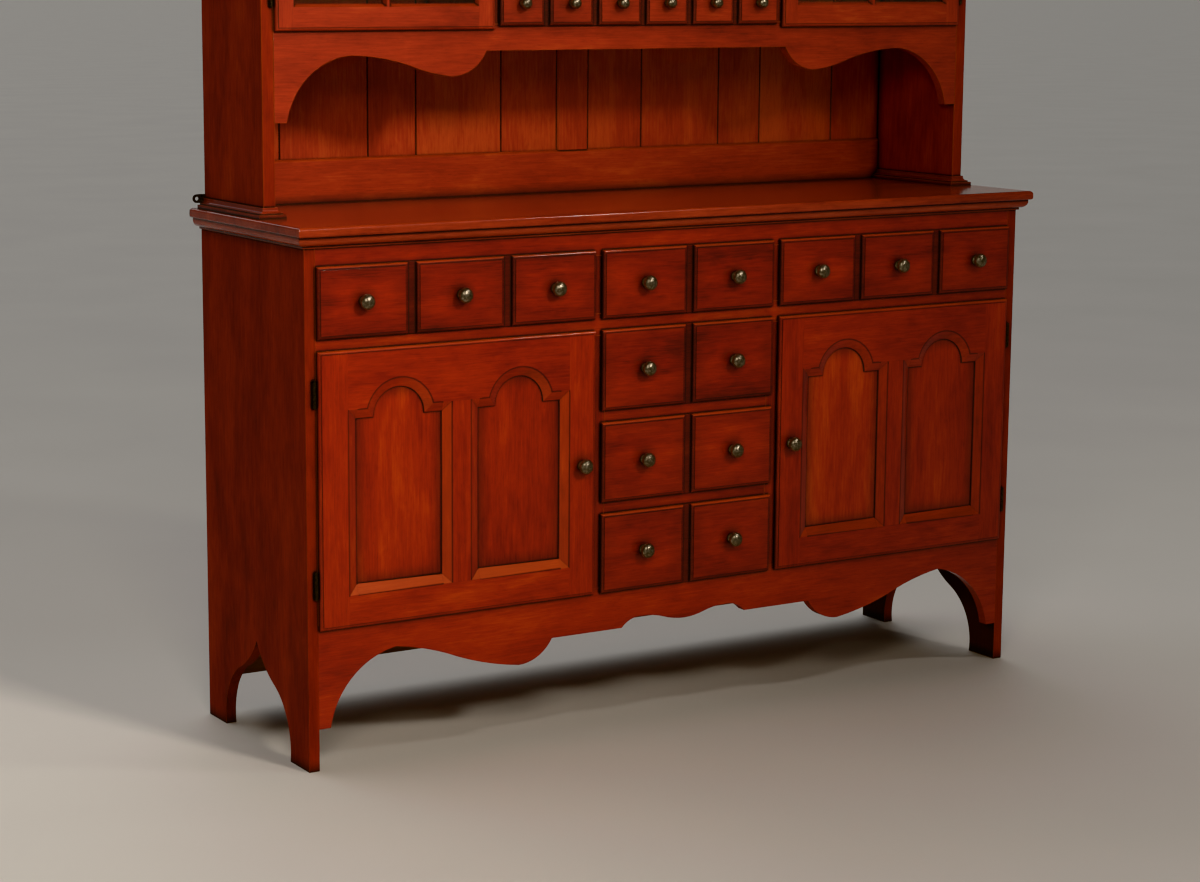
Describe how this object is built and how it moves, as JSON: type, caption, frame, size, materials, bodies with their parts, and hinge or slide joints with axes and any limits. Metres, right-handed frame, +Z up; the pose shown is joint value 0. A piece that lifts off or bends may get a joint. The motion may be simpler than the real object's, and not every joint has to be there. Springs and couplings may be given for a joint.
{
  "type": "china cabinet",
  "caption": "Two-piece china hutch: a base with lipped drawers and arched-panel doors under a counter, and an upper case with glazed doors, open shelves and a long spice drawer.",
  "frame": {"origin": "on the floor, under the middle of the whole closed cabinet", "axes": "+X to the viewer's right, +Y to the back, +Z up; the fronts face -Y"},
  "size_m": [1.5854, 0.447, 2.03],
  "materials": {
    "cherry": "red-brown cherry stain under a satin-gloss lacquer, dark glaze in the recesses",
    "inner_wood": "plain sealed wood inside the case",
    "knob_metal": "dark antiqued metal",
    "hinge_metal": "dark bronzed steel",
    "door_glass": "clear flat glass"
  },
  "bodies": {
    "cabinet": {"apron": "cherry", "base_back": "inner_wood", "base_inner_boards": "inner_wood", "base_partitions": "inner_wood", "base_rails": "cherry", "base_side_left": "cherry", "base_side_right": "cherry", "base_stiles": "cherry", "counter_moulding": "cherry", "counter_top": "cherry", "crown_moulding": "cherry", "hinge_frame_leaves": "hinge_metal", "hutch_back_frame": "cherry", "hutch_back_planks": "cherry", "hutch_face_frame": "cherry", "hutch_partitions": "cherry", "hutch_shelves": "cherry", "hutch_side_left": "cherry", "hutch_side_right": "cherry", "hutch_top": "cherry", "tie_eyes": "hinge_metal", "valance": "cherry", "waist_moulding": "cherry"},
    "drawer_top_left": {"drawer_top_left_box": "inner_wood", "drawer_top_left_front": "cherry", "drawer_top_left_knobs": "knob_metal"},
    "drawer_top_right": {"drawer_top_right_box": "inner_wood", "drawer_top_right_front": "cherry", "drawer_top_right_knobs": "knob_metal"},
    "drawer_top_centre": {"drawer_top_centre_box": "inner_wood", "drawer_top_centre_front": "cherry", "drawer_top_centre_knobs": "knob_metal"},
    "drawer_upper": {"drawer_upper_box": "inner_wood", "drawer_upper_front": "cherry", "drawer_upper_knobs": "knob_metal"},
    "drawer_middle": {"drawer_middle_box": "inner_wood", "drawer_middle_front": "cherry", "drawer_middle_knobs": "knob_metal"},
    "drawer_lower": {"drawer_lower_box": "inner_wood", "drawer_lower_front": "cherry", "drawer_lower_knobs": "knob_metal"},
    "spice_drawer": {"spice_drawer_box": "inner_wood", "spice_drawer_front": "cherry", "spice_drawer_knobs": "knob_metal"},
    "door_left": {"door_left_frame": "cherry", "door_left_hinge_leaves": "hinge_metal", "door_left_knob": "knob_metal", "door_left_panels": "cherry"},
    "door_right": {"door_right_frame": "cherry", "door_right_hinge_leaves": "hinge_metal", "door_right_knob": "knob_metal", "door_right_panels": "cherry"},
    "glazed_left": {"glazed_left_frame": "cherry", "glazed_left_glass": "door_glass", "glazed_left_hinge_leaves": "hinge_metal", "glazed_left_knob": "knob_metal"},
    "glazed_right": {"glazed_right_frame": "cherry", "glazed_right_glass": "door_glass", "glazed_right_hinge_leaves": "hinge_metal", "glazed_right_knob": "knob_metal"}
  },
  "joints": [
    {"name": "drawer_top_left_slide", "type": "slide", "parent": "cabinet", "child": "drawer_top_left", "axis": [0, -1, 0], "range_m": [0, 0.28]},
    {"name": "drawer_top_right_slide", "type": "slide", "parent": "cabinet", "child": "drawer_top_right", "axis": [0, -1, 0], "range_m": [0, 0.28]},
    {"name": "drawer_top_centre_slide", "type": "slide", "parent": "cabinet", "child": "drawer_top_centre", "axis": [0, -1, 0], "range_m": [0, 0.28]},
    {"name": "drawer_upper_slide", "type": "slide", "parent": "cabinet", "child": "drawer_upper", "axis": [0, -1, 0], "range_m": [0, 0.28]},
    {"name": "drawer_middle_slide", "type": "slide", "parent": "cabinet", "child": "drawer_middle", "axis": [0, -1, 0], "range_m": [0, 0.28]},
    {"name": "drawer_lower_slide", "type": "slide", "parent": "cabinet", "child": "drawer_lower", "axis": [0, -1, 0], "range_m": [0, 0.28]},
    {"name": "spice_drawer_slide", "type": "slide", "parent": "cabinet", "child": "spice_drawer", "axis": [0, -1, 0], "range_m": [0, 0.15]},
    {"name": "door_left_hinge", "type": "hinge", "parent": "cabinet", "child": "door_left", "pos_m": [-0.7355, -0.1944, 0.474], "axis": [0, 0, -1], "range_deg": [0, 110]},
    {"name": "door_right_hinge", "type": "hinge", "parent": "cabinet", "child": "door_right", "pos_m": [0.7355, -0.1944, 0.474], "axis": [0, 0, 1], "range_deg": [0, 110]},
    {"name": "glazed_left_hinge", "type": "hinge", "parent": "cabinet", "child": "glazed_left", "pos_m": [-0.7294, -0.0364, 1.557], "axis": [0, 0, -1], "range_deg": [0, 110]},
    {"name": "glazed_right_hinge", "type": "hinge", "parent": "cabinet", "child": "glazed_right", "pos_m": [0.7294, -0.0364, 1.557], "axis": [0, 0, 1], "range_deg": [0, 110]}
  ]
}
